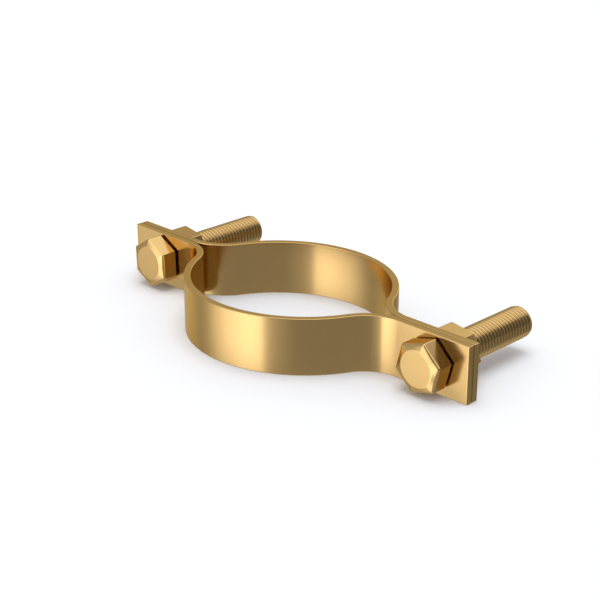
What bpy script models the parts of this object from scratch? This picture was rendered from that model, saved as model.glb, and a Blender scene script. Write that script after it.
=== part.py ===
"""Two-half strap pipe clamp, closed by two hex bolts with hex nuts.

Each half is one flat bar bent into an arc between two straight ears. The ears lie against
each other on the parting plane, and a bolt runs through each pair of ears. The clamp stands
on the edges of its straps: X runs from ear to ear, Y along the bolts from their heads to
their tips, and Z up. The origin is the centre of the clamp's footprint.
"""

import math

import bmesh
import bpy

MM = 0.001

# The straps
STRAP_HEIGHT = 30.0 * MM        # width of the flat bar, which stands on its edge
STRAP_THICKNESS = 3.7 * MM
HALF_LENGTH = 121.2 * MM        # from the middle of the clamp to the end of each ear
ARC_RADIUS = 60.0 * MM          # inside of the bent arc
ARC_OFFSET = 11.3 * MM          # the arc's centre lies this far beyond the parting plane
NECK_RADIUS = 22.7 * MM         # outside of the bend from arc to ear
EDGE_CHAMFER = 0.5 * MM
END_CHAMFER = 0.45 * MM         # how far the bar's outline shrinks at the end of an ear
ARC_STEP = 4.0                  # degrees of bend for each flat of the arc
NECK_STEP = 8.0

# Clearance between pieces that touch
GAP = 0.3 * MM

# The bolts and nuts
BOLT_X = 98.5 * MM              # from the middle of the clamp to each bolt
HOLE_DIAMETER = 18.4 * MM
THREAD_DIAMETER = 17.1 * MM
THREAD_PITCH = 2.34 * MM
THREAD_DEPTH = 0.65 * MM
THREAD_MARGIN = 0.1 * THREAD_PITCH  # no ridge starts or ends closer to the thread's ends
TIP_REACH = 66.1 * MM           # from the parting plane to the bolt's tip
TIP_CHAMFER = 0.85 * MM
HEAD_ACROSS_FLATS = 24.5 * MM
HEAD_HEIGHT = 10.05 * MM
HEAD_TOP_DIAMETER = 19.0 * MM   # the round flat on top of the head
HEAD_CROWN = 1.3 * MM           # height over which the hexagon turns into that circle
WASHER_FACE_DIAMETER = 22.2 * MM
WASHER_FACE_HEIGHT = 0.85 * MM
NUT_ACROSS_FLATS = 24.2 * MM
NUT_HEIGHT = 13.5 * MM
NUT_BORE = THREAD_DIAMETER + GAP
NUT_COUNTERSINK = 0.9 * MM
NUT_CHAMFER = 0.5 * MM

# How far each piece is turned about its own axis, in degrees
HEAD_TURN = {"left": 31.9, "right": 15.7}
NUT_TURN = {"left": -8.8, "right": -8.2}

COLUMNS = 24                    # points around a bolt or nut, four to each side of a hexagon
HOLE_SIDES = 32

# Worked out from the dimensions above
OUTER_RADIUS = ARC_RADIUS + STRAP_THICKNESS
EAR_FACE = GAP / 2 + STRAP_THICKNESS              # from the parting plane to an ear's outer face
RING_REACH = OUTER_RADIUS - ARC_OFFSET + GAP / 2  # from the parting plane to the arc's crown
PARTING_Y = (RING_REACH - TIP_REACH) / 2          # puts the origin midway between the two
BOLT_Z = STRAP_HEIGHT / 2

BRASS = (0.66, 0.45, 0.13, 1.0)
BRIGHT_BRASS = (0.72, 0.50, 0.16, 1.0)


def clear_scene():
    for thing in list(bpy.data.objects):
        bpy.data.objects.remove(thing, do_unlink=True)


def metal(name, colour, roughness):
    """A metallic Principled material of one colour."""
    material = bpy.data.materials.new(name)
    material.use_nodes = True
    shader = material.node_tree.nodes["Principled BSDF"]
    shader.inputs["Base Color"].default_value = colour
    shader.inputs["Metallic"].default_value = 1.0
    shader.inputs["Roughness"].default_value = roughness
    return material


def add_object(name, mesh, material, location=(0, 0, 0), rotation=(0, 0, 0)):
    """Put a mesh in the scene, smooth over its rounds and sharp at its edges."""
    if material.name not in mesh.materials:
        mesh.materials.append(material)
    mesh.shade_smooth()
    mesh.set_sharp_from_angle(angle=math.radians(25))
    thing = bpy.data.objects.new(name, mesh)
    thing.location = location
    thing.rotation_euler = rotation
    bpy.context.collection.objects.link(thing)
    return thing


# ---- the straps ----

def arc_points(centre_x, centre_y, radius, start, end, step, outward):
    """Points along an arc as (x, y, normal x, normal y); outward is 1 or -1 times the radius."""
    count = max(1, round(abs(end - start) / step))
    points = []
    for i in range(count + 1):
        angle = math.radians(start + (end - start) * i / count)
        across, along = math.cos(angle), math.sin(angle)
        points.append((centre_x + radius * across, centre_y + radius * along,
                       outward * across, outward * along))
    return points


def strap_path():
    """The front strap's middle line from the left ear's end to the right ear's end.

    The ears' inner faces are on y = 0 and the arc bulges towards -Y. The neck's circle
    touches both the arc's outside and the ear's outer face.
    """
    middle = STRAP_THICKNESS / 2
    neck_y = -(STRAP_THICKNESS + NECK_RADIUS)
    neck_x = math.sqrt((OUTER_RADIUS + NECK_RADIUS) ** 2 - (neck_y - ARC_OFFSET) ** 2)
    lean = math.degrees(math.atan2(ARC_OFFSET - neck_y, neck_x))
    right = arc_points(0, ARC_OFFSET, ARC_RADIUS + middle, -90, -lean, ARC_STEP, 1)
    right += arc_points(neck_x, neck_y, NECK_RADIUS + middle, 180 - lean, 90, NECK_STEP, -1)[1:]
    right.append((HALF_LENGTH - EDGE_CHAMFER, -middle, 0, -1))
    left = [(-x, y, -normal_x, normal_y) for x, y, normal_x, normal_y in reversed(right)]
    return left + right[1:]


def strap_section(inset):
    """The bar's cross-section with chamfered corners, as (outward, up) pairs in order."""
    half = STRAP_THICKNESS / 2 - inset
    low, high = inset, STRAP_HEIGHT - inset
    cut = EDGE_CHAMFER
    return [(-half, low + cut), (-half + cut, low), (half - cut, low), (half, low + cut),
            (half, high - cut), (half - cut, high), (-half + cut, high), (-half, high - cut)]


def strap_mesh():
    """The front strap, swept along its middle line, its ends chamfered like its edges."""
    path = strap_path()
    stations = [(*point, 0.0) for point in path]
    for index, side in ((0, -1), (-1, 1)):
        x, y, normal_x, normal_y = path[index]
        tip = (x + side * EDGE_CHAMFER, y, normal_x, normal_y, END_CHAMFER)
        stations.insert(0 if index == 0 else len(stations), tip)
    body = bmesh.new()
    rings = []
    for x, y, normal_x, normal_y, inset in stations:
        rings.append([body.verts.new((x + out * normal_x, y + out * normal_y, up))
                      for out, up in strap_section(inset)])
    for ring, following in zip(rings, rings[1:]):
        bridge(body, ring, following)
    body.faces.new(rings[0])
    body.faces.new(reversed(rings[-1]))
    return finished_mesh(body, "strap")


def hole_cutters():
    """One round cutter along Y through each pair of ears."""
    cutters = []
    for side, x in (("left", -BOLT_X), ("right", BOLT_X)):
        bpy.ops.mesh.primitive_cylinder_add(
            vertices=HOLE_SIDES, radius=HOLE_DIAMETER / 2, depth=6 * STRAP_THICKNESS,
            location=(x, PARTING_Y, BOLT_Z), rotation=(math.pi / 2, 0, 0))
        cutter = bpy.context.object
        cutter.name = f"{side}_hole_cutter"
        cutter.hide_render = True
        cutter.display_type = "WIRE"
        cutters.append(cutter)
    return cutters


def add_strap(name, mesh, material, cutters, half_turn):
    """A strap half with its two bolt holes; the back half is the front one turned round."""
    offset = GAP / 2 if half_turn else -GAP / 2
    strap = add_object(name, mesh, material, (0, PARTING_Y + offset, 0),
                       (0, 0, math.pi if half_turn else 0))
    for cutter in cutters:
        hole = strap.modifiers.new(cutter.name, "BOOLEAN")
        hole.operation = "DIFFERENCE"
        hole.object = cutter
    return strap


# ---- the bolts and nuts, made along +Z about their own axis ----

def bridge(body, ring, following):
    """Join two rings of points with a band of faces."""
    for i in range(len(ring)):
        j = (i + 1) % len(ring)
        body.faces.new((ring[i], following[i], following[j], ring[j]))


def finished_mesh(body, name):
    bmesh.ops.recalc_face_normals(body, faces=body.faces)
    mesh = bpy.data.meshes.new(name)
    body.to_mesh(mesh)
    body.free()
    return mesh


def circle(body, z, diameter):
    ring = []
    for i in range(COLUMNS):
        angle = 2 * math.pi * i / COLUMNS
        ring.append(body.verts.new((diameter / 2 * math.cos(angle),
                                    diameter / 2 * math.sin(angle), z)))
    return ring


def hexagon(body, z, across_flats):
    """A hexagon with a corner at angle 0, its sides divided at the columns' angles."""
    ring = []
    for i in range(COLUMNS):
        angle = 2 * math.pi * i / COLUMNS
        from_flat = angle % (math.pi / 3) - math.pi / 6
        radius = across_flats / 2 / math.cos(from_flat)
        ring.append(body.verts.new((radius * math.cos(angle), radius * math.sin(angle), z)))
    return ring


def thread(body, start, end, first_ring, last_ring):
    """A right-hand V thread between two circles.

    Each column of points steps from root to crest every half pitch, and each column starts
    a little higher than the one before, so that one turn climbs one pitch. Points that would
    fall outside the threaded length become the points of the circles at its ends.
    """
    root = THREAD_DIAMETER / 2 - THREAD_DEPTH
    steps = 2 * math.ceil((end - start) / THREAD_PITCH) + 2
    columns = []
    for i in range(COLUMNS):
        angle = 2 * math.pi * i / COLUMNS
        column = []
        for k in range(-2, steps + 1):
            z = start + THREAD_PITCH * (k / 2 + i / COLUMNS)
            radius = THREAD_DIAMETER / 2 if k % 2 else root
            if z < start + THREAD_MARGIN:
                column.append(first_ring[i])
            elif z > end - THREAD_MARGIN:
                column.append(last_ring[i])
            else:
                column.append(body.verts.new((radius * math.cos(angle),
                                              radius * math.sin(angle), z)))
        columns.append(column)
    wrapped = columns[0][2:] + [last_ring[0]] * 2
    for column, following in zip(columns, columns[1:] + [wrapped]):
        for k in range(len(column) - 1):
            corners = (column[k], following[k], following[k + 1], column[k + 1])
            distinct = list(dict.fromkeys(corners))
            if len(distinct) > 2:
                body.faces.new(distinct)


def bolt_mesh():
    """A hex bolt, its shank at z = 0 on the parting plane and its head below."""
    under_washer_face = -(EAR_FACE + GAP)
    under_head = under_washer_face - WASHER_FACE_HEIGHT
    top = under_head - HEAD_HEIGHT
    root_diameter = THREAD_DIAMETER - 2 * THREAD_DEPTH
    thread_start = under_washer_face + THREAD_PITCH / 2
    thread_end = TIP_REACH - TIP_CHAMFER
    body = bmesh.new()
    rings = [circle(body, top, HEAD_TOP_DIAMETER),
             hexagon(body, top + HEAD_CROWN, HEAD_ACROSS_FLATS),
             hexagon(body, under_head, HEAD_ACROSS_FLATS),
             circle(body, under_head, WASHER_FACE_DIAMETER),
             circle(body, under_washer_face, WASHER_FACE_DIAMETER),
             circle(body, under_washer_face, root_diameter),
             circle(body, thread_start, root_diameter)]
    for ring, following in zip(rings, rings[1:]):
        bridge(body, ring, following)
    shoulder = circle(body, thread_end, THREAD_DIAMETER - TIP_CHAMFER / 2)
    tip = circle(body, TIP_REACH, THREAD_DIAMETER - 2 * TIP_CHAMFER)
    thread(body, thread_start, thread_end, rings[-1], shoulder)
    bridge(body, shoulder, tip)
    body.faces.new(rings[0])
    body.faces.new(reversed(tip))
    return finished_mesh(body, "bolt")


def nut_mesh():
    """A hex nut with chamfered edges and a countersunk bore, standing on its ear's outer face."""
    low = EAR_FACE + GAP
    high = low + NUT_HEIGHT
    countersink = NUT_BORE + 2 * NUT_COUNTERSINK
    inset = NUT_ACROSS_FLATS - 2 * NUT_CHAMFER
    body = bmesh.new()
    rings = [circle(body, low + NUT_COUNTERSINK, NUT_BORE),
             circle(body, low, countersink),
             hexagon(body, low, inset),
             hexagon(body, low + NUT_CHAMFER, NUT_ACROSS_FLATS),
             hexagon(body, high - NUT_CHAMFER, NUT_ACROSS_FLATS),
             hexagon(body, high, inset),
             circle(body, high, countersink),
             circle(body, high - NUT_COUNTERSINK, NUT_BORE)]
    for ring, following in zip(rings, rings[1:] + rings[:1]):
        bridge(body, ring, following)
    return finished_mesh(body, "nut")


def add_turned(name, mesh, material, x, turn):
    """Lay a piece made along +Z along the bolt axis at x, turned from +X towards +Z."""
    return add_object(name, mesh, material, (x, PARTING_Y, BOLT_Z),
                      (-math.pi / 2, -math.radians(turn), 0))


def build():
    clear_scene()
    strap_brass = metal("strap_brass", BRASS, 0.32)
    fastener_brass = metal("fastener_brass", BRIGHT_BRASS, 0.28)
    cutters = hole_cutters()
    strap = strap_mesh()
    add_strap("front_strap", strap, strap_brass, cutters, half_turn=False)
    add_strap("back_strap", strap, strap_brass, cutters, half_turn=True)
    bolt = bolt_mesh()
    nut = nut_mesh()
    for side, x in (("left", -BOLT_X), ("right", BOLT_X)):
        add_turned(f"{side}_bolt", bolt, fastener_brass, x, HEAD_TURN[side])
        add_turned(f"{side}_nut", nut, fastener_brass, x, NUT_TURN[side])


build()
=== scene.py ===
"""The visible two-half strap pipe clamp: its straps, bolts, nuts, brass and studio.

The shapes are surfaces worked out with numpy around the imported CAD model, which stays in
place as a fixed frame. X runs from ear to ear, Y along the bolts and Z up, in metres.
"""

import math

import bpy
import numpy as np
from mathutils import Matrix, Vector


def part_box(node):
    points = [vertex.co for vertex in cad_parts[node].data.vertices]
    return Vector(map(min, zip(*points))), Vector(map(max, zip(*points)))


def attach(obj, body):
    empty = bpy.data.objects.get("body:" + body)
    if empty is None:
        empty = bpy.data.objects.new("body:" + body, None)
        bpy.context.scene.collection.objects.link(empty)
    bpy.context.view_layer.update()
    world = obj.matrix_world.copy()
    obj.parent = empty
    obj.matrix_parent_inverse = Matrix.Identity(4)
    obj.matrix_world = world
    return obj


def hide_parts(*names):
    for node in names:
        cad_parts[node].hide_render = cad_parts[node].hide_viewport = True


bl_info = {
    "name": "Strap pipe clamp",
    "version": (1, 0, 0),
    "blender": (4, 5, 0),
    "location": "3D View > Sidebar > Pipe clamp",
    "description": "Builds a two-half strap pipe clamp with its hex bolts, nuts and studio stage",
    "category": "Object",
}

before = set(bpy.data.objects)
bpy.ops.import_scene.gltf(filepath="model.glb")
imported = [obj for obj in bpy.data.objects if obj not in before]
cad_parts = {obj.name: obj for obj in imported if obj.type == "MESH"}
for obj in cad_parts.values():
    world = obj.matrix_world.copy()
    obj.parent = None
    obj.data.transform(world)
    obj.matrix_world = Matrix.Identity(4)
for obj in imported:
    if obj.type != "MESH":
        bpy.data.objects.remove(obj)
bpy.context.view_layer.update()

MM = 0.001
TAU = 2 * math.pi
SIDES = ("left", "right")

# How finely the surfaces are divided
CROWN_POINTS = 49        # along half of a strap's arc
NECK_POINTS = 29         # along each bend between arc and ear
EDGE_POINTS = 5          # round each edge of the bar
END_TURNS = [22.5, 45.0, 67.5, 84.0]    # degrees of the rounding at an ear's end
HOLE_COLUMNS = 128       # round a bolt hole
CORNER_COLUMNS = 5       # round each corner of a hexagon
FLAT_COLUMNS = 8         # along each side of a hexagon
ROUNDING_STEPS = 5       # round each edge of a bolt or a nut
ROWS_PER_PITCH = 16      # of the thread
RIDGE_POWER = 1.3        # narrows the thread's ridges
SHARP_ANGLE = math.radians(32)

# Small roundings and offsets of the bolts and nuts
FLAT_MARGIN = 1.5 * MM       # width of the outer ring of the head's round flat
UNDERSIDE_ROUNDING = 0.25 * MM
WASHER_ROOT_ROUNDING = 0.1 * MM
WASHER_ROUNDING = 0.15 * MM
MOUTH_ROUNDING = 0.15 * MM   # of each end of a nut's bore
TIP_MARGIN = 0.15 * MM       # width of the outer ring of the bolt's tip
THREAD_START = 0.4 * MM      # from the washer face

# Marks in the metal
SPECKLE_SIZE = 0.3 * MM
SPECKLE_DEPTH = 0.02 * MM
PATCH_SIZE = 25 * MM

# Painted shade, darkening the metal's colour in gaps, under heads and in thread roots: amounts
# from 0 to 1
JOINT_LINE = 1.2 * MM    # width of the painted shade line along the edges of the joint
JOINT_DEPTH = 0.45 * MM  # it starts this far from the parting plane
JOINT_FADE = 0.2 * MM    # and is full after this much more
JOINT_PAINTED_SHADE = 0.45
THREAD_PAINTED_SHADE = 0.45
UNDER_HEAD_SHADE_START = 0.05 * MM   # the painted shade under a head starts this far from its underside
UNDER_HEAD_SHADE_END = 1 * MM        # and ends this far past the washer face

# Places read from the frame
FRONT_LOW, FRONT_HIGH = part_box("front_strap")
BACK_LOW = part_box("back_strap")[0]
GAP = BACK_LOW.y - FRONT_HIGH.y                # between the two halves' ears
PARTING_Y = (BACK_LOW.y + FRONT_HIGH.y) / 2
STRAP_HEIGHT = FRONT_HIGH.z - FRONT_LOW.z
HALF_LENGTH = FRONT_HIGH.x
ARC_REACH = FRONT_HIGH.y - FRONT_LOW.y         # from an ear's inner face to the arc's crown


def axis_of(side):
    """(x, z) of a bolt's axis, the middle of its nut."""
    low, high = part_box(f"{side}_nut")
    return (low.x + high.x) / 2, (low.z + high.z) / 2


# ---- sizes and colours a user may change ----

def length_property(name, description, millimetres):
    """A length property, given in millimetres."""
    return bpy.props.FloatProperty(name=name, description=description,
                                   default=millimetres * MM, unit="LENGTH")


def angle_property(name, description, degrees):
    """An angle property, given in degrees."""
    return bpy.props.FloatProperty(name=name, description=description,
                                   default=math.radians(degrees), subtype="ANGLE")


def colour_property(name, description, value):
    """An sRGB colour property, given as a hex value."""
    return bpy.props.StringProperty(name=name, description=description, default=value)


class StrapSettings(bpy.types.PropertyGroup):
    """Shape of the two straps."""
    thickness: length_property("Thickness", "Thickness of the flat bar", 3.7)
    arc_radius: length_property("Arc radius", "Inside radius of each half's arc", 60.0)
    neck_radius: length_property(
        "Neck radius", "Outside radius of the bend between arc and ear", 22.7)
    edge_radius: length_property("Edge radius", "Rounding of the bar's edges and ends", 0.42)
    hole_diameter: length_property("Hole diameter", "Diameter of the bolt holes", 18.4)


class BoltSettings(bpy.types.PropertyGroup):
    """Shape of the hex bolts."""
    across_flats: length_property("Head across flats", "Width of the hexagon head", 24.5)
    head_height: length_property(
        "Head height", "From the washer face to the top of the head", 10.05)
    crown_height: length_property(
        "Crown height", "Height over which the hexagon turns into a circle", 1.32)
    top_diameter: length_property(
        "Top diameter", "Diameter of the round flat on top of the head", 19.0)
    washer_diameter: length_property(
        "Washer face diameter", "Diameter of the round face under the head", 22.2)
    washer_height: length_property(
        "Washer face height", "How far that face stands proud of the head", 0.85)
    thread_diameter: length_property("Thread diameter", "Outside diameter of the thread", 17.1)
    thread_pitch: length_property("Thread pitch", "Distance from one ridge to the next", 2.34)
    thread_depth: length_property("Thread depth", "From the thread's crests to its roots", 0.65)
    tip_chamfer: length_property("Tip chamfer", "Width of the chamfer at the bolt's tip", 0.95)
    tip_ring: length_property("Tip ring", "Length of the plain ring at the bolt's tip", 1.5)
    rim_rounding: length_property(
        "Rim rounding", "Rounding between the round flat and the crown", 0.5)
    crown_rounding: length_property(
        "Crown rounding", "Rounding between the crown and the head's sides", 1.15)
    corner_radius: length_property("Corner radius", "Radius of the hexagon's six corners", 0.8)
    left_turn: angle_property(
        "Left bolt's turn", "How far the left head is turned about its axis", 31.9)
    right_turn: angle_property(
        "Right bolt's turn", "How far the right head is turned about its axis", 15.7)


class NutSettings(bpy.types.PropertyGroup):
    """Shape of the hex nuts."""
    across_flats: length_property("Nut across flats", "Width of the hexagon nut", 24.2)
    bore: length_property("Bore", "Diameter of the bore, just over the thread's crests", 17.4)
    countersink: length_property(
        "Countersink", "Width of the chamfer at each end of the bore", 0.9)
    edge_radius: length_property("Edge radius", "Rounding of the nut's edges", 0.35)
    corner_radius: length_property("Corner radius", "Radius of the nut's six corners", 0.6)
    left_turn: angle_property(
        "Left nut's turn", "How far the left nut is turned about its axis", -8.8)
    right_turn: angle_property(
        "Right nut's turn", "How far the right nut is turned about its axis", -8.2)


class FinishSettings(bpy.types.PropertyGroup):
    """Finish of the metal and the floor."""
    roughness: bpy.props.FloatProperty(
        name="Roughness", description="How much the brass blurs what it reflects",
        default=0.2, min=0.0, max=1.0, subtype="FACTOR")
    speckle: bpy.props.FloatProperty(
        name="Speckle", description="How far the speckle changes the roughness",
        default=0.03, min=0.0, max=1.0, subtype="FACTOR")
    brass: colour_property("Brass", "sRGB colour of the brass, as a hex value", "#D6B478")
    brass_dark: colour_property(
        "Handled brass", "sRGB colour where the brass has dulled", "#CFAB71")
    brass_edge: colour_property(
        "Glancing brass", "sRGB tint of the brass seen at glancing angles", "#F3DCB0")
    # painted shade: the dark brown that gaps, the seam under each head and the thread roots are
    # darkened towards, standing in for their shade
    painted_shade_colour: colour_property(
        "Recesses", "sRGB colour of the oil-darkened metal deep in recesses", "#3A2410")
    floor: colour_property("Floor", "sRGB colour of the floor, as a hex value", "#E3E5EA")


# The studio seen in reflections: (heading in degrees from the front towards the right ear,
# brightness) of what stands low and of what stands higher
LOW_WALL = [(-180, 0.2), (-125, 0.5), (-105, 0.6), (-90, 0.52), (-72, 0.31), (-60, 0.42),
            (-48, 0.78), (-36, 1.15), (-14, 1.55), (3, 1.55), (7, 0.6), (16, 0.4), (34, 0.24),
            (120, 0.22), (145, 0.17), (180, 0.2)]
HIGH_WALL = [(-180, 0.85), (-152, 0.78), (-142, 0.41), (-70, 0.37), (-45, 0.42), (-34, 0.9),
             (-20, 1.3), (2, 1.2), (8, 0.4), (20, 0.12), (130, 0.12), (150, 0.45),
             (180, 0.85)]
CEILING = 1.0            # brightness overhead
GROUND = 0.6             # brightness underfoot
BRIGHTEST = 1.6          # top of the scale that these are given on
STUDIO_GAIN = 1.38       # how strongly the metal mirrors the studio
DOME = 0.895             # even light on the floor

# How one turns into the next: (height from 0 straight down to 1 straight up, amount)
TO_HIGH_WALL = [(0.42, 0.0), (0.54, 1.0)]
TO_CEILING = [(0.82, 0.0), (0.91, 1.0)]
TO_GROUND = [(0.06, 1.0), (0.16, 0.0)]

# A painted reflection: a sheet that only reflections see glows grey close to the clamp, standing
# in for the shaded floor the metal would mirror
MIRRORED_REACH = 0.4
MIRRORED_HEIGHT = 0.1 * MM   # above the floor
PAINTED_REFLECTION_GREY = 0.38
MIRRORED_DISTANCE = 70 * MM  # how far away the clamp still shades it
MIRRORED_AMOUNT = [(0.4, 0.55), (0.95, 0.0)]    # (openness, amount)

# The stage: lengths in metres
FLOOR_REACH = 4.0
PANEL_ANGLE = math.radians(42)
PANEL_STRENGTH = 1.42
SENSOR_WIDTH = 36.0      # in millimetres
FOCAL_LENGTH = 84.2      # in millimetres
CAMERA_PLACE = (0.4819, -0.4750 + PARTING_Y, 0.2971)
CAMERA_TARGET = (0.00705, PARTING_Y, 0.01914)


def settings():
    """The sizes and colours as they stand."""
    return bpy.context.scene.pipe_clamp


# ---- meshes from grids of points ----

def grid_faces(rows, columns, wrap_rows):
    """Quads between neighbouring points of a grid whose columns close into rings."""
    index = np.arange(rows * columns).reshape(rows, columns)
    across = np.roll(index, -1, axis=1)
    low, high = (index, across) if wrap_rows else (index[:-1], across[:-1])
    next_low, next_high = (np.roll(index, -1, axis=0), np.roll(across, -1, axis=0)) \
        if wrap_rows else (index[1:], across[1:])
    return np.stack([low, high, next_high, next_low], axis=-1).reshape(-1, 4)


def ring_mesh(name, points, wrap_rows=False):
    """A closed mesh from rings of points (rows, columns, xyz).

    Each ring is joined to the next. The rows either wrap round, as on a piece with a bore,
    or end in a fan of triangles about the middle of the first and the last ring.
    """
    rows, columns, _ = points.shape
    vertices = points.reshape(-1, 3)
    faces = grid_faces(rows, columns, wrap_rows).tolist()
    if not wrap_rows:
        poles = np.array([points[0].mean(axis=0), points[-1].mean(axis=0)])
        first = len(vertices)
        vertices = np.vstack([vertices, poles])
        near = np.arange(columns)
        far = near + (rows - 1) * columns
        start = np.stack([np.full(columns, first), np.roll(near, -1), near], axis=-1)
        end = np.stack([np.full(columns, first + 1), far, np.roll(far, -1)], axis=-1)
        faces += start.tolist() + end.tolist()
    mesh = bpy.data.meshes.new(name)
    mesh.from_pydata(vertices.tolist(), [], faces)
    mesh.validate()
    if signed_volume(mesh) < 0:
        mesh.flip_normals()
    return mesh


def signed_volume(mesh):
    """Sum of the tetrahedra from the origin to each triangle, positive if faces point out."""
    mesh.calc_loop_triangles()
    corners = np.empty(len(mesh.loop_triangles) * 3, np.int32)
    mesh.loop_triangles.foreach_get("vertices", corners)
    places = np.empty(len(mesh.vertices) * 3, np.float32)
    mesh.vertices.foreach_get("co", places)
    a, b, c = places.reshape(-1, 3)[corners.reshape(-1, 3)].transpose(1, 0, 2).astype(float)
    return np.einsum("ij,ij->i", a, np.cross(b, c)).sum() / 6


def mark_painted_shade(mesh, amounts):
    """Store how much painted shade darkens each vertex, from 0 in the open to 1 deep in a gap or
    thread root.
    """
    painted_shade = mesh.attributes.new("painted_shade", "FLOAT", "POINT")
    values = np.zeros(len(mesh.vertices), np.float32)
    values[:amounts.size] = amounts.ravel()
    painted_shade.data.foreach_set("value", values)
    return mesh


def add_piece(name, mesh, material, body):
    """Show a mesh as a piece that rides with a body and stands for the CAD node."""
    mesh.materials.clear()
    mesh.materials.append(material)
    mesh.shade_smooth()
    mesh.set_sharp_from_angle(angle=SHARP_ANGLE)
    piece = bpy.data.objects.new(name, mesh)
    bpy.context.scene.collection.objects.link(piece)
    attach(piece, body)
    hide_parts(name.removesuffix("_brass"))
    return piece


# ---- straps ----

def arc(centre, radius, start, end, count, outward):
    """Points of an arc and its normals: centre plus radius times the unit vector at each
    angle from start to end; the normals are that vector times outward."""
    angle = np.linspace(start, end, count)
    unit = np.stack([np.cos(angle), np.sin(angle)], axis=-1)
    return np.asarray(centre) + radius * unit, outward * unit


def strap_path(strap):
    """The front strap's middle line, with the ears' inner faces on y = 0.

    The right half is the arc from its crown to the neck, the neck's arc, which touches both
    the arc's outside and the ear's outer face, and the straight ear. The left half is the
    same with x turned round.
    """
    middle = strap.thickness / 2
    outer = strap.arc_radius + strap.thickness
    offset = outer - ARC_REACH
    neck_y = -(strap.thickness + strap.neck_radius)
    neck_x = math.sqrt((outer + strap.neck_radius) ** 2 - (neck_y - offset) ** 2)
    lean = math.atan2(offset - neck_y, neck_x)
    crown = arc((0, offset), strap.arc_radius + middle, -math.pi / 2, -lean,
                CROWN_POINTS, 1)
    neck = arc((neck_x, neck_y), strap.neck_radius + middle, math.pi - lean, math.pi / 2,
               NECK_POINTS, -1)
    ear_x = np.array([HALF_LENGTH - 2 * strap.edge_radius, HALF_LENGTH - strap.edge_radius])
    ear = (np.stack([ear_x, np.full(2, -middle)], axis=-1), np.tile([0.0, -1.0], (2, 1)))
    places, normals = (np.vstack([crown[i], neck[i][1:], ear[i]]) for i in (0, 1))
    mirror = np.array([-1.0, 1.0])
    return (np.vstack([places[:0:-1] * mirror, places]),
            np.vstack([normals[:0:-1] * mirror, normals]))


def strap_section(strap, inset):
    """The bar's cross-section as (outward, up) pairs: a rectangle with round corners.

    Each corner is a quarter circle, and a point on the flat close beside each end of it keeps the
    shading of the flats flat. On the bar's broad faces one more point bounds the painted shade
    line along the joint. inset shrinks the outline evenly.
    """
    radius = strap.edge_radius - inset
    half = strap.thickness / 2 - strap.edge_radius
    middle, rise = STRAP_HEIGHT / 2, STRAP_HEIGHT / 2 - strap.edge_radius
    beside = strap.edge_radius / 4
    turn = np.linspace(0, math.pi / 2, EDGE_POINTS)
    corner_x = np.concatenate([[radius, radius], radius * np.cos(turn), [-beside]])
    corner_y = np.concatenate([[-JOINT_LINE, -beside], radius * np.sin(turn), [radius]])
    x, y = [], []
    for quarter in range(4):
        flip_x = -1 if quarter in (1, 2) else 1
        flip_y = -1 if quarter in (2, 3) else 1
        step = -1 if quarter in (1, 3) else 1
        x.append(flip_x * (half + corner_x[::step]))
        y.append(middle + flip_y * (rise + corner_y[::step]))
    return np.concatenate(x), np.concatenate(y)


def strap_points(strap):
    """The section carried along the middle line: place + outward * normal, at height up.

    At each end the section follows a quarter circle, moving out by its sine and shrinking by
    its cosine, so that the ear's end is rounded like its edges.
    """
    places, normals = strap_path(strap)
    turn = np.radians(END_TURNS)
    inset = np.zeros(len(places))
    for end, side in ((0, -1.0), (-1, 1.0)):
        tips = places[end] + np.outer(side * strap.edge_radius * np.sin(turn), [1.0, 0.0])
        tip_normals = np.tile(normals[end], (len(turn), 1))
        shrink = strap.edge_radius * (1 - np.cos(turn))
        if end == 0:
            places = np.vstack([tips[::-1], places])
            normals = np.vstack([tip_normals, normals])
            inset = np.concatenate([shrink[::-1], inset])
        else:
            places = np.vstack([places, tips])
            normals = np.vstack([normals, tip_normals])
            inset = np.concatenate([inset, shrink])
    sections = [strap_section(strap, value) for value in inset]
    out = np.stack([section[0] for section in sections])
    up = np.stack([section[1] for section in sections])
    x = places[:, :1] + out * normals[:, :1]
    y = places[:, 1:] + out * normals[:, 1:]
    return np.stack([x, y, up], axis=-1)


def cut_holes(mesh, strap):
    """Cut the bolt holes through both ears with round cutters along Y.

    The cutters reach four thicknesses of the bar to each side of the parting plane.
    """
    angle = np.linspace(0, TAU, HOLE_COLUMNS, endpoint=False)
    radius = strap.hole_diameter / 2
    body = bpy.data.objects.new("strap_blank", mesh)
    bpy.context.scene.collection.objects.link(body)
    cutters = []
    for side in SIDES:
        x, z = axis_of(side)
        ends = PARTING_Y + np.array([-4.0, 4.0]) * strap.thickness
        rings = np.empty((2, len(angle), 3))
        rings[..., 0] = x + radius * np.cos(angle)
        rings[..., 1] = ends[:, None]
        rings[..., 2] = z + radius * np.sin(angle)
        cutter = bpy.data.objects.new(f"{side}_cutter", ring_mesh("cutter", rings))
        bpy.context.scene.collection.objects.link(cutter)
        hole = body.modifiers.new("hole", "BOOLEAN")
        hole.operation = "DIFFERENCE"
        hole.object = cutter
        cutters.append(cutter)
    evaluated = body.evaluated_get(bpy.context.evaluated_depsgraph_get())
    cut = bpy.data.meshes.new_from_object(evaluated)
    for spent in (body, *cutters):
        bpy.data.objects.remove(spent, do_unlink=True)
    return cut


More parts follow.
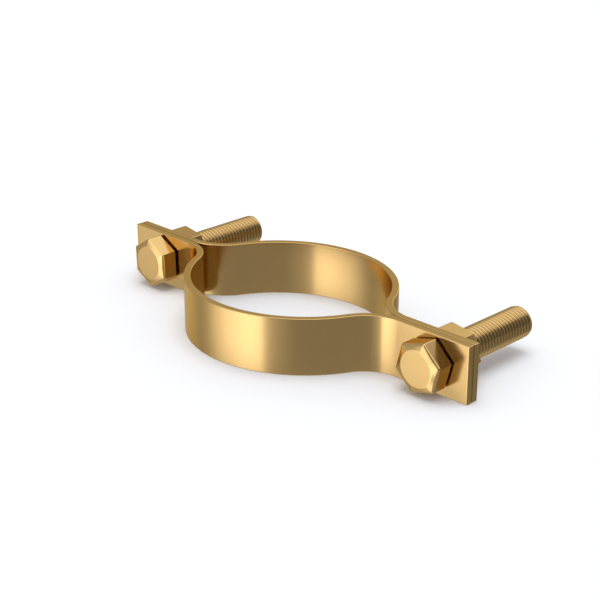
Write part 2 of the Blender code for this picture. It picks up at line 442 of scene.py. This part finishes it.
def paint_joint_shade(mesh):
    """Paint a line of shade along the edges where the two halves' ears meet, darkening the gap
    between them.

    It takes in every point nearer to an edge than the row of points that bounds it.
    """
    places = np.empty(len(mesh.vertices) * 3, np.float32)
    mesh.vertices.foreach_get("co", places)
    x, y, z = places.reshape(-1, 3).T
    from_edge = np.minimum(np.minimum(z, STRAP_HEIGHT - z), HALF_LENGTH - np.abs(x))
    depth = np.clip((JOINT_DEPTH - np.abs(y - PARTING_Y)) / JOINT_FADE, 0, 1)
    return mark_painted_shade(mesh, JOINT_PAINTED_SHADE * depth * (from_edge < 0.75 * JOINT_LINE))


def front_strap_mesh(strap):
    """The strap that the bolt heads press on."""
    points = strap_points(strap)
    points[..., 1] += PARTING_Y - GAP / 2
    return paint_joint_shade(cut_holes(ring_mesh("front_strap", points), strap))


def back_strap_mesh(strap):
    """The front strap turned half round about the middle of the parting plane."""
    points = strap_points(strap)
    points[..., 0] *= -1
    points[..., 1] = PARTING_Y + GAP / 2 - points[..., 1]
    return paint_joint_shade(cut_holes(ring_mesh("back_strap", points), strap))


# ---- bolts and nuts ----

def hexagon_outline(across_flats, rounding):
    """Angles and distances from the axis of a hexagon's outline, with a corner at angle 0.

    Each corner is a sixth of a circle of radius r whose centre lies c out along the corner's
    direction, so that it touches both flats: (c + r cos b, r sin b) for b from -30 to 30
    degrees. On a flat the distance is the apothem over the cosine of the angle from the
    flat's middle.
    """
    apothem = across_flats / 2
    centre = (apothem - rounding) / math.cos(math.pi / 6)
    bend = np.linspace(-math.pi / 6, math.pi / 6, CORNER_COLUMNS)
    across, along = rounding * np.sin(bend), centre + rounding * np.cos(bend)
    corner = np.arctan2(across, along)
    beside = corner[-1] * 1.3    # the first point on the flat
    flat = np.linspace(beside, math.pi / 3 - beside, FLAT_COLUMNS)
    sixth = np.concatenate([corner, flat])
    distance = np.concatenate([np.hypot(across, along), apothem / np.cos(flat - math.pi / 6)])
    angle = (sixth + np.arange(6)[:, None] * math.pi / 3).ravel()
    return angle, np.tile(distance, 6)


def rounded_profile(corners):
    """A profile of (radius, height) points through corners that are each rounded off.

    Each corner is (radius, height, rounding). A rounded corner is the curve
    (1-t)^2 A + 2t(1-t) C + t^2 B between the points A and B that lie the rounding's length
    before and after the corner C, with one more point close beside A and B that keeps the
    faces' shading flat. All of them keep to their own half of each side. Radii may be whole
    arrays, one value for each column.
    """
    t = np.linspace(0, 1, ROUNDING_STEPS + 1)[:, None, None]
    columns = max(np.size(radius) for radius, _, _ in corners)
    places = [np.stack([np.broadcast_to(radius, columns), np.full(columns, height)], axis=-1)
              for radius, height, _ in corners]
    rows = []
    for i, (_, _, rounding) in enumerate(corners):
        here = places[i]
        if rounding == 0 or i in (0, len(corners) - 1):
            rows.append(here[None])
            continue
        near, beside = [], []
        for other in (places[i - 1], places[i + 1]):
            step = other - here
            length = np.linalg.norm(step, axis=-1, keepdims=True)
            for points, share, limit in ((near, 1.0, 0.42), (beside, 1.15, 0.46)):
                points.append(here + step / length * np.minimum(rounding * share, limit * length))
        curve = (1 - t) ** 2 * near[0] + 2 * t * (1 - t) * here + t ** 2 * near[1]
        rows += [beside[0][None], curve, beside[1][None]]
    return np.concatenate(rows)


def around(side, angle, turn, profile):
    """Carry a profile of (radius, height) round a bolt's axis.

    Height runs along +Y from the parting plane, and each angle from +X towards +Z.
    """
    x, z = axis_of(side)
    radius, height = profile[..., 0], profile[..., 1]
    return np.stack([x + radius * np.cos(angle + turn), PARTING_Y + height,
                     z + radius * np.sin(angle + turn)], axis=-1)


def thread_profile(bolt, angle, start, end):
    """Rows of (radius, height) for a right-hand thread.

    The radius falls from crest to root and back as a raised cosine to a power, once
    for each pitch of height plus each turn of angle. It fades in over the first pitch and
    gives way to a plain ring, halfway between crest and root, and the tip's chamfer.
    """
    rows = int((end - start) / bolt.thread_pitch * ROWS_PER_PITCH)
    height = np.linspace(start, end, rows)[:, None]
    phase = height / bolt.thread_pitch + angle[None] / TAU
    ridge = (0.5 - 0.5 * np.cos(TAU * phase)) ** RIDGE_POWER
    fade = np.clip((height - start) / bolt.thread_pitch, 0, 1)
    crest = bolt.thread_diameter / 2
    radius = crest - bolt.thread_depth * (1 - ridge * fade)
    radius = np.where(end - height < bolt.tip_ring, crest - bolt.thread_depth / 2, radius)
    cone = crest - bolt.tip_chamfer + (end - height)
    return np.stack([np.minimum(radius, cone), np.broadcast_to(height, radius.shape)], axis=-1)


def bolt_mesh(bolt, side):
    """A hex bolt as one profile carried round its axis, from the top of its head to its tip.

    The head's crown is a ruled surface: at each angle a straight line joins the round flat
    to the hexagon's outline.
    """
    strap = settings().strap
    angle, outline = hexagon_outline(bolt.across_flats, bolt.corner_radius)
    washer = -(GAP / 2 + strap.thickness + GAP)
    under = washer - bolt.washer_height
    top = under - bolt.head_height
    root = bolt.thread_diameter / 2 - bolt.thread_depth
    head = rounded_profile([
        (bolt.top_diameter / 2 - FLAT_MARGIN, top, 0),
        (bolt.top_diameter / 2, top, bolt.rim_rounding),
        (outline, top + bolt.crown_height, bolt.crown_rounding),
        (outline, under, UNDERSIDE_ROUNDING),
        (bolt.washer_diameter / 2, under, WASHER_ROOT_ROUNDING),
        (bolt.washer_diameter / 2, washer, WASHER_ROUNDING),
        (root, washer, 0)])
    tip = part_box(f"{side}_bolt")[1].y - PARTING_Y
    thread = thread_profile(bolt, angle, washer + THREAD_START, tip)
    rim = bolt.thread_diameter / 2 - bolt.tip_chamfer - TIP_MARGIN
    cap = rounded_profile([
        (np.full(len(angle), rim), tip, 0),
        (bolt.thread_diameter / 4, tip, 0)])
    turn = bolt.left_turn if side == "left" else bolt.right_turn
    profile = np.concatenate([head, thread, cap])
    radius, height = profile[..., 0], profile[..., 1]
    crest = bolt.thread_diameter / 2
    # painted shade: the thread's roots are darkened by colour, the deeper the darker, standing in
    # for the shade in the grooves
    thread_root_shade = np.clip((crest - radius) / bolt.thread_depth, 0, 1)
    thread_root_shade *= (height > washer) & (height < tip)
    # painted shade: the washer face and the gap under the head are darkened by colour, standing
    # in for the shade there
    shade_under_head = (height > under + UNDER_HEAD_SHADE_START) & (height < washer + UNDER_HEAD_SHADE_END)
    mesh = ring_mesh(f"{side}_bolt", around(side, angle, turn, profile))
    return mark_painted_shade(mesh, np.maximum(THREAD_PAINTED_SHADE * thread_root_shade, shade_under_head))


def nut_points(nut, side):
    """A hex nut as one closed profile carried round its axis: bore, countersinks, sides."""
    angle, outline = hexagon_outline(nut.across_flats, nut.corner_radius)
    low, high = (corner.y - PARTING_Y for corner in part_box(f"{side}_nut"))
    bore, mouth = nut.bore / 2, nut.bore / 2 + nut.countersink
    fine = nut.edge_radius
    profile = rounded_profile([
        (bore, low + nut.countersink, 0),
        (mouth, low, MOUTH_ROUNDING),
        (outline, low, fine),
        (outline, high, fine),
        (mouth, high, MOUTH_ROUNDING),
        (bore, high - nut.countersink, 0)])
    turn = nut.left_turn if side == "left" else nut.right_turn
    return around(side, angle, turn, profile)


# ---- materials ----

def linear(hex_colour):
    """An sRGB hex colour as linear red, green, blue and a full alpha."""
    values = [int(hex_colour[i:i + 2], 16) / 255 for i in (1, 3, 5)]
    return [v / 12.92 if v <= 0.04045 else ((v + 0.055) / 1.055) ** 2.4 for v in values] + [1.0]


def grey(value):
    """A linear grey as red, green, blue and a full alpha."""
    return (value, value, value, 1.0)


def node(tree, kind, inputs=None, stops=(), **properties):
    """Add a node with its properties, and set each input or link it to a node's output.

    Inputs are {name or number: value or output}. Stops are the greys of a colour ramp, as
    (place, brightness).
    """
    made = tree.nodes.new(kind)
    for name, value in properties.items():
        setattr(made, name, value)
    for name, value in (inputs or {}).items():
        if isinstance(value, bpy.types.NodeSocket):
            tree.links.new(value, made.inputs[name])
        else:
            made.inputs[name].default_value = value
    elements = made.color_ramp.elements if stops else ()
    while len(elements) < len(stops):
        elements.new(1.0)
    for element, (place, value) in zip(elements, stops):
        element.position = place
        element.color = grey(value)
    return made


def brass(name):
    """Satin yellow brass, barrel-finished and then left to tarnish a little.

    The eye gets a warm metal whose reflections are soft but whole, a fine speckle from the
    finishing media, slow changes of tone where it has been handled, and painted shade: dark brown
    colour in the gaps, under the heads and in the thread roots.
    """
    finish = settings().finish
    material = bpy.data.materials.new(name)
    material.use_nodes = True
    tree = material.node_tree
    shader = tree.nodes["Principled BSDF"]
    shader.inputs["Metallic"].default_value = 1.0
    shader.inputs["Specular Tint"].default_value = linear(finish.brass_edge)
    place = node(tree, "ShaderNodeTexCoord").outputs["Object"]
    speckle, patches = (
        node(tree, "ShaderNodeTexNoise",
             {"Vector": place, "Scale": 1 / size, "Detail": detail}).outputs["Fac"]
        for size, detail in ((SPECKLE_SIZE, 2.0), (PATCH_SIZE, 3.0)))
    tone = node(tree, "ShaderNodeMix", {"Factor": patches, "A": linear(finish.brass),
                                        "B": linear(finish.brass_dark)}, data_type="RGBA")
    # painted shade: this attribute darkens the colour in gaps, under heads and in thread roots,
    # standing in for their shade
    painted_shade = node(tree, "ShaderNodeAttribute", attribute_name="painted_shade").outputs["Fac"]
    shaded_tone = node(tree, "ShaderNodeMix", {"Factor": painted_shade, "A": tone.outputs["Result"],
                                        "B": linear(finish.painted_shade_colour)}, data_type="RGBA")
    rough = node(tree, "ShaderNodeMapRange",
                 {"Value": speckle, "From Min": 0.25, "From Max": 0.75,
                  "To Min": finish.roughness - finish.speckle,
                  "To Max": finish.roughness + finish.speckle})
    bump = node(tree, "ShaderNodeBump",
                {"Height": speckle, "Strength": 0.06, "Distance": SPECKLE_DEPTH})
    tree.links.new(shaded_tone.outputs["Result"], shader.inputs["Base Color"])
    tree.links.new(rough.outputs["Result"], shader.inputs["Roughness"])
    tree.links.new(bump.outputs["Normal"], shader.inputs["Normal"])
    return material


# ---- the studio ----

def studio_world():
    """Soft panels around the object, seen only in its reflections.

    The brightness follows the heading, measured from the front towards the right ear, and
    turns into the even light of the ceiling above. The floor is lit by a plain white dome,
    and the camera sees a plain white backdrop.
    """
    world = bpy.data.worlds.new("studio")
    world.use_nodes = True
    tree = world.node_tree
    background = tree.nodes["Background"]
    place = node(tree, "ShaderNodeTexCoord").outputs["Generated"]
    split = node(tree, "ShaderNodeSeparateXYZ", {"Vector": place}).outputs
    towards_front = node(tree, "ShaderNodeMath", {0: split["Y"], 1: -1.0},
                         operation="MULTIPLY").outputs[0]
    heading = node(tree, "ShaderNodeMath", {0: split["X"], 1: towards_front},
                   operation="ARCTAN2").outputs[0]
    turn = node(tree, "ShaderNodeMapRange", {"Value": heading, "From Min": -math.pi,
                                             "From Max": math.pi}).outputs["Result"]
    low, high = (
        node(tree, "ShaderNodeValToRGB", {"Fac": turn},
             [((degrees + 180) / 360, value / BRIGHTEST) for degrees, value in wall])
        .outputs["Color"] for wall in (LOW_WALL, HIGH_WALL))
    height = node(tree, "ShaderNodeMapRange",
                  {"Value": split["Z"], "From Min": -1.0}).outputs["Result"]
    room = low
    for stops, beyond in ((TO_GROUND, grey(GROUND / BRIGHTEST)), (TO_HIGH_WALL, high),
                          (TO_CEILING, grey(CEILING / BRIGHTEST))):
        amount = node(tree, "ShaderNodeValToRGB", {"Fac": height}, stops).outputs["Color"]
        room = node(tree, "ShaderNodeMix", {"Factor": amount, "A": room, "B": beyond},
                    data_type="RGBA").outputs["Result"]
    tree.links.new(room, background.inputs["Color"])
    background.inputs["Strength"].default_value = BRIGHTEST * STUDIO_GAIN
    rays = node(tree, "ShaderNodeLightPath").outputs
    shown = background.outputs[0]
    for ray, strength in (("Is Diffuse Ray", DOME), ("Is Camera Ray", 1.0)):
        plain = node(tree, "ShaderNodeBackground", {"Color": grey(1.0), "Strength": strength})
        shown = node(tree, "ShaderNodeMixShader",
                     {"Fac": rays[ray], 1: shown, 2: plain.outputs[0]}).outputs[0]
    tree.links.new(shown, tree.nodes["World Output"].inputs["Surface"])
    world.cycles.sampling_method = "NONE"    # what a ray sees depends on its kind
    return world


def square(name, reach):
    """A flat square that reaches as far from the middle to each side."""
    mesh = bpy.data.meshes.new(name)
    mesh.from_pydata([(-reach, -reach, 0), (reach, -reach, 0), (reach, reach, 0),
                      (-reach, reach, 0)], [], [(0, 1, 2, 3)])
    return mesh


def matt_paint():
    """Matt pale paint: the eye gets plain shadows without any shine."""
    paint = bpy.data.materials.new("matt_pale_floor")
    paint.use_nodes = True
    shader = paint.node_tree.nodes["Principled BSDF"]
    shader.inputs["Base Color"].default_value = linear(settings().finish.floor)
    shader.inputs["Roughness"].default_value = 0.9
    return paint


def painted_floor_reflection():
    """A painted reflection of the shaded floor, only where it lies close to the clamp.

    A sheet that only reflections see glows a flat grey wherever ambient occlusion finds the clamp
    near. The eye gets a softer, paler band painted at the bottom of every upright face, with the
    dark studio above that. The sheet fades to clear where the floor is open.
    """
    material = bpy.data.materials.new("painted_floor_shade_in_reflections")
    material.use_nodes = True
    tree = material.node_tree
    shade = node(tree, "ShaderNodeAmbientOcclusion", {"Distance": MIRRORED_DISTANCE})
    near = node(tree, "ShaderNodeValToRGB", {"Fac": shade.outputs["AO"]}, MIRRORED_AMOUNT)
    clear = node(tree, "ShaderNodeBsdfTransparent")
    # painted reflection: a flat grey glow that stands in for the shaded floor
    painted_glow = node(tree, "ShaderNodeEmission", {"Color": grey(PAINTED_REFLECTION_GREY)})
    mixed = node(tree, "ShaderNodeMixShader", {"Fac": near.outputs["Color"],
                                               1: clear.outputs[0], 2: painted_glow.outputs[0]})
    tree.links.new(mixed.outputs[0], tree.nodes["Material Output"].inputs["Surface"])
    return material


def add_floors(scene):
    """The floor itself, and a sheet just above it that only reflections see, which carries the
    painted reflection of the shaded floor.
    """
    floor = bpy.data.objects.new("floor", square("floor", FLOOR_REACH))
    floor.data.materials.append(matt_paint())
    floor.visible_glossy = False
    mirrored = bpy.data.objects.new("floor_in_reflections",
                                    square("floor_in_reflections", MIRRORED_REACH))
    mirrored.data.materials.append(painted_floor_reflection())
    mirrored.location.z = MIRRORED_HEIGHT
    for ray in ("camera", "diffuse", "transmission", "shadow"):
        setattr(mirrored, f"visible_{ray}", False)
    for sheet in (floor, mirrored):
        scene.collection.objects.link(sheet)


def add_overhead_light(scene):
    """A wide soft light straight above, as even far away as it is beside the clamp."""
    panel = bpy.data.lights.new("overhead_panel", "SUN")
    panel.angle = PANEL_ANGLE
    panel.energy = PANEL_STRENGTH
    overhead = bpy.data.objects.new("overhead_panel", panel)
    overhead.visible_glossy = False
    scene.collection.objects.link(overhead)


def add_camera(scene):
    """A camera at the front right, looking down on the clamp."""
    lens = bpy.data.cameras.new("camera")
    lens.sensor_width = SENSOR_WIDTH
    lens.lens = FOCAL_LENGTH
    lens.clip_end = 5 * FLOOR_REACH
    camera = bpy.data.objects.new("camera", lens)
    camera.location = CAMERA_PLACE
    view = Vector(CAMERA_TARGET) - camera.location
    camera.rotation_euler = view.to_track_quat("-Z", "Y").to_euler()
    scene.collection.objects.link(camera)
    scene.camera = camera


# ---- operators ----

class CLAMP_OT_straps(bpy.types.Operator):
    """Build the two bent straps with their bolt holes"""
    bl_idname = "clamp.straps"
    bl_label = "Straps"

    def execute(self, context):
        strap = settings().strap
        rolled = brass("rolled_brass_bar")
        add_piece("front_strap_brass", front_strap_mesh(strap), rolled, "front")
        add_piece("back_strap_brass", back_strap_mesh(strap), rolled, "back")
        return {"FINISHED"}


class CLAMP_OT_bolts(bpy.types.Operator):
    """Build the two hex bolts with their threads"""
    bl_idname = "clamp.bolts"
    bl_label = "Bolts"

    def execute(self, context):
        forged = brass("cold_headed_brass")
        for side in SIDES:
            mesh = bolt_mesh(settings().bolt, side)
            add_piece(f"{side}_bolt_brass", mesh, forged, f"{side}_bolt")
        return {"FINISHED"}


class CLAMP_OT_nuts(bpy.types.Operator):
    """Build the two hex nuts"""
    bl_idname = "clamp.nuts"
    bl_label = "Nuts"

    def execute(self, context):
        milled = brass("milled_brass")
        for side in SIDES:
            mesh = ring_mesh(f"{side}_nut", nut_points(settings().nut, side), wrap_rows=True)
            add_piece(f"{side}_nut_brass", mesh, milled, f"{side}_nut")
        return {"FINISHED"}


class CLAMP_OT_stage(bpy.types.Operator):
    """Set up the floor, the soft light and the camera"""
    bl_idname = "clamp.stage"
    bl_label = "Stage"

    def execute(self, context):
        scene = context.scene
        scene.view_settings.view_transform = "Standard"
        scene.world = studio_world()
        add_floors(scene)
        add_overhead_light(scene)
        add_camera(scene)
        return {"FINISHED"}


class CLAMP_PT_panel(bpy.types.Panel):
    """Buttons and sizes of the pipe clamp"""
    bl_idname = "CLAMP_PT_panel"
    bl_label = "Pipe clamp"
    bl_space_type = "VIEW_3D"
    bl_region_type = "UI"
    bl_category = "Pipe clamp"

    def draw(self, context):
        for group in ("strap", "bolt", "nut", "finish"):
            box = self.layout.box()
            values = getattr(context.scene.pipe_clamp, group)
            for name in values.__annotations__:
                box.prop(values, name)
        for operator in OPERATORS:
            self.layout.operator(operator.bl_idname)


class ClampSettings(bpy.types.PropertyGroup):
    """Everything about the clamp that a user may change."""
    strap: bpy.props.PointerProperty(type=StrapSettings)
    bolt: bpy.props.PointerProperty(type=BoltSettings)
    nut: bpy.props.PointerProperty(type=NutSettings)
    finish: bpy.props.PointerProperty(type=FinishSettings)


OPERATORS = (CLAMP_OT_straps, CLAMP_OT_bolts, CLAMP_OT_nuts, CLAMP_OT_stage)
CLASSES = (StrapSettings, BoltSettings, NutSettings, FinishSettings, ClampSettings,
           *OPERATORS, CLAMP_PT_panel)


def register():
    for made in CLASSES:
        bpy.utils.register_class(made)
    bpy.types.Scene.pipe_clamp = bpy.props.PointerProperty(type=ClampSettings)


def unregister():
    del bpy.types.Scene.pipe_clamp
    for made in reversed(CLASSES):
        bpy.utils.unregister_class(made)


def main():
    register()
    bpy.ops.clamp.stage()
    bpy.ops.clamp.straps()
    bpy.ops.clamp.bolts()
    bpy.ops.clamp.nuts()


if __name__ == "__main__":
    main()
